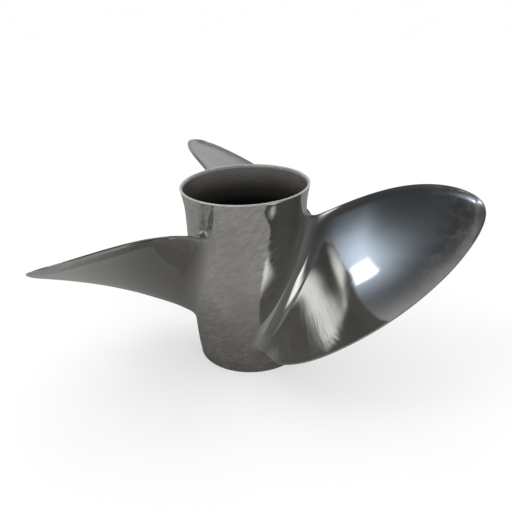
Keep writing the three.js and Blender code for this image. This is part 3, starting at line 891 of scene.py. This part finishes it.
fwd, right = turn(up, math.radians(yaw), fwd), turn(up, math.radians(yaw), right)
fwd, up = turn(right, math.radians(pitch_), fwd), turn(right, math.radians(pitch_), up)
right, up = turn(fwd, math.radians(roll), right), turn(fwd, math.radians(roll), up)
cam = bpy.data.cameras.new("camera")
cam.sensor_width = 36.0
cam.lens = focal / 512 * 36.0
cam.clip_start, cam.clip_end = 0.01, 60.0
camera = bpy.data.objects.new("camera", cam)
bpy.context.scene.collection.objects.link(camera)
M = Matrix.Identity(4)
for i in range(3):
    M[i][0], M[i][1], M[i][2] = right[i], up[i], -fwd[i]
    M[i][3] = cam_pos[i] / 1000.0 - (CENTRE_HEIGHT / 1000.0 if i == 2 else 0.0)
camera.matrix_world = M
bpy.context.scene.camera = camera

# =====================================================================================
# What the polished metal mirrors
# =====================================================================================
def floor_in_steel(t, x, y):
    """One even grey, with a painted soft shadow of the object round its foot. x and y in millimetres."""
    r = t.m("SQRT", t.add(t.mul(x, x), t.mul(y, y)))
    return t.mix(t.step(r, 50.0, 240.0), (0.120, 0.118, 0.112), (0.290, 0.287, 0.275))


def quad(t, X, Y, corners, soft):
    """1 inside a convex quadrilateral, with a soft edge."""
    cx = sum(p[0] for p in corners) / 4
    cy = sum(p[1] for p in corners) / 4
    out = None
    for i in range(4):
        (x0, y0), (x1, y1) = corners[i], corners[(i + 1) % 4]
        ln = math.hypot(x1 - x0, y1 - y0)
        nx, ny = (y1 - y0) / ln, -(x1 - x0) / ln
        c = -(nx * x0 + ny * y0)
        if nx * cx + ny * cy + c < 0:
            nx, ny, c = -nx, -ny, -c
        side = t.step(t.lin(X, Y, nx, ny, c), -soft, soft)
        out = side if out is None else t.mul(out, side)
    return out


def studio_tone(t, X, Y, theta):
    """Plain soft studio: a dim even gradient and soft boxes. X and Y are degrees from straight up, towards +X and +Y."""
    sky = t.mix(t.step(theta, 25.0, 88.0), (0.050, 0.052, 0.055), (0.150, 0.148, 0.142))
    # pale wall behind
    sky = t.mix(t.step(Y, 26.0, 62.0), sky, (0.42, 0.43, 0.44))
    # broad soft overhead light, slightly cool, with a small rectangular soft box inside it
    sky = t.mix(t.gauss(X, Y, -33.0, 7.0, 12.0, 15.0), sky, (0.82, 0.98, 1.16))
    sky = t.mix(quad(t, X, Y, ((-30.5, 7.5), (-28.5, 16.0), (-37.0, 19.0), (-39.0, 10.0)), 0.6), sky, (2.5, 2.6, 2.65))
    # long low soft box in front
    strip = t.mul(t.step(theta, 50.0, 57.0), t.step(theta, 68.0, 61.0))
    strip = t.mul(strip, t.mul(t.step(X, -56.0, -44.0), t.step(X, 0.0, -10.0)))
    strip = t.mul(strip, t.step(Y, -20.0, -32.0))
    return t.mix(strip, sky, (1.30, 1.32, 1.32))


# =====================================================================================
# Floor
# =====================================================================================
def disc(name, radius, z, material):
    rings = [0.0, 0.06, 0.12, 0.2, 0.32, 0.5, 0.8, 1.3, 2.2, 4.0, 8.0, radius]
    seg = 96
    V, F = [(0, 0, z)], []
    for r in rings[1:]:
        for i in range(seg):
            a = 2 * math.pi * i / seg
            V.append((r * math.cos(a), r * math.sin(a), z))
    for i in range(seg):
        F.append((0, 1 + i, 1 + (i + 1) % seg))
    for j in range(len(rings) - 2):
        for i in range(seg):
            a, b = 1 + j * seg + i, 1 + j * seg + (i + 1) % seg
            F.append((a, a + seg, b + seg, b))
    me = bpy.data.meshes.new(name)
    me.from_pydata(V, [], F)
    me.update()
    me.materials.append(material)
    ob = bpy.data.objects.new(name, me)
    bpy.context.scene.collection.objects.link(ob)
    return ob


def floor_material():
    """Near white, and partly self-lit so that contact shadows stay light."""
    m = bpy.data.materials.new("pale_floor")
    m.use_nodes = True
    t = Tree(m.node_tree)
    out = t.new("ShaderNodeOutputMaterial")
    d = t.new("ShaderNodeBsdfDiffuse")
    p = t.new("ShaderNodeTexCoord").outputs["Object"]
    t.put(d.inputs["Color"], t.mix(t.ramp(t.noise(p, 6.0, 3.0), 0.3, 0.7), (0.44, 0.44, 0.44), (0.46, 0.46, 0.46)))
    em = t.new("ShaderNodeEmission")
    em.inputs["Color"].default_value = (1, 1, 1, 1)
    em.inputs["Strength"].default_value = 0.52
    both = t.new("ShaderNodeAddShader")
    t.t.links.new(d.outputs[0], both.inputs[0])
    t.t.links.new(em.outputs[0], both.inputs[1])
    clear = t.new("ShaderNodeBsdfTransparent")
    back = t.new("ShaderNodeNewGeometry").outputs["Backfacing"]
    mx = t.new("ShaderNodeMixShader")
    t.put(mx.inputs[0], back)
    t.t.links.new(both.outputs[0], mx.inputs[1])
    t.t.links.new(clear.outputs[0], mx.inputs[2])
    t.t.links.new(mx.outputs[0], out.inputs[0])
    return m


floor = disc("floor", 16.0, -0.0801, floor_material())
floor.visible_glossy = False


def floor_in_steel_material():
    m = bpy.data.materials.new("floor_in_steel")
    m.use_nodes = True
    t = Tree(m.node_tree)
    out = t.new("ShaderNodeOutputMaterial")
    em = t.new("ShaderNodeEmission")
    p = t.new("ShaderNodeTexCoord").outputs["Object"]
    x, y, _ = t.xyz(p)
    t.put(em.inputs["Color"], floor_in_steel(t, t.mul(x, 1000.0), t.mul(y, 1000.0)))
    em.inputs["Strength"].default_value = 1.0
    t.t.links.new(em.outputs[0], out.inputs[0])
    return m


# a self-lit card seen only by mirror rays: a painted reflection of the floor, with a painted shadow round the foot
steel_floor = disc("floor_in_steel", 16.0, -0.0803, floor_in_steel_material())
steel_floor.visible_camera = False
steel_floor.visible_diffuse = False
steel_floor.visible_shadow = False
steel_floor.visible_transmission = False

# =====================================================================================
# Studio surroundings
# =====================================================================================
world = bpy.data.worlds.new("studio")
bpy.context.scene.world = world
world.use_nodes = True
t = Tree(world.node_tree)
out = t.new("ShaderNodeOutputWorld")
d = t.new("ShaderNodeTexCoord").outputs["Generated"]
dx, dy, dz = t.xyz(d)
theta = t.mul(t.m("ARCCOSINE", t.m("MINIMUM", t.m("MAXIMUM", dz, -1.0), 1.0)), 180.0 / math.pi)
rho = t.max(t.m("SQRT", t.add(t.mul(dx, dx), t.mul(dy, dy))), 1e-4)
X = t.div(t.mul(theta, dx), rho)
Y = t.div(t.mul(theta, dy), rho)
sky = studio_tone(t, X, Y, theta)

path = t.new("ShaderNodeLightPath")
bg_cam = t.new("ShaderNodeBackground")
bg_cam.inputs["Color"].default_value = (1, 1, 1, 1)
bg_cam.inputs["Strength"].default_value = 1.0
bg_soft = t.new("ShaderNodeBackground")
bg_soft.inputs["Color"].default_value = (1, 1, 1, 1)
bg_soft.inputs["Strength"].default_value = 1.06
bg_mirror = t.new("ShaderNodeBackground")
t.put(bg_mirror.inputs["Color"], sky)
bg_mirror.inputs["Strength"].default_value = 1.0
m1 = t.new("ShaderNodeMixShader")
t.put(m1.inputs[0], path.outputs["Is Glossy Ray"])
t.t.links.new(bg_soft.outputs[0], m1.inputs[1])
t.t.links.new(bg_mirror.outputs[0], m1.inputs[2])
m2 = t.new("ShaderNodeMixShader")
t.put(m2.inputs[0], path.outputs["Is Camera Ray"])
t.t.links.new(m1.outputs[0], m2.inputs[1])
t.t.links.new(bg_cam.outputs[0], m2.inputs[2])
t.t.links.new(m2.outputs[0], out.inputs[0])
world.cycles.sampling_method = "NONE"

# a broad, weak soft box for the matt surfaces
def softbox(name, target, azimuth, elevation, distance, width, height, spin, power):
    a, el = math.radians(azimuth), math.radians(elevation)
    direction = Vector((math.cos(a) * math.cos(el), math.sin(a) * math.cos(el), math.sin(el)))
    data = bpy.data.lights.new(name, "AREA")
    data.shape = "RECTANGLE"
    data.size, data.size_y = width, height
    data.energy = power
    ob = bpy.data.objects.new(name, data)
    bpy.context.scene.collection.objects.link(ob)
    q = direction.to_track_quat("Z", "Y")
    ob.matrix_world = Matrix.Translation(Vector(target) + direction * distance) @ q.to_matrix().to_4x4() @ Matrix.Rotation(math.radians(spin), 4, "Z")
    return ob


key = softbox("key_light", (0.0, 0.0, 0.0), 205.0, 55.0, 1.8, 0.9, 0.9, 0.0, 5.0)
key.visible_glossy = False

scene = bpy.context.scene
scene.view_settings.view_transform = "Standard"
scene.view_settings.look = "None"
scene.view_settings.exposure = 0.0
scene.view_settings.gamma = 1.0
scene.cycles.max_bounces = 12
scene.cycles.glossy_bounces = 8
scene.cycles.sample_clamp_indirect = 6.0
scene.cycles.blur_glossy = 0.0

bpy.context.view_layer.update()
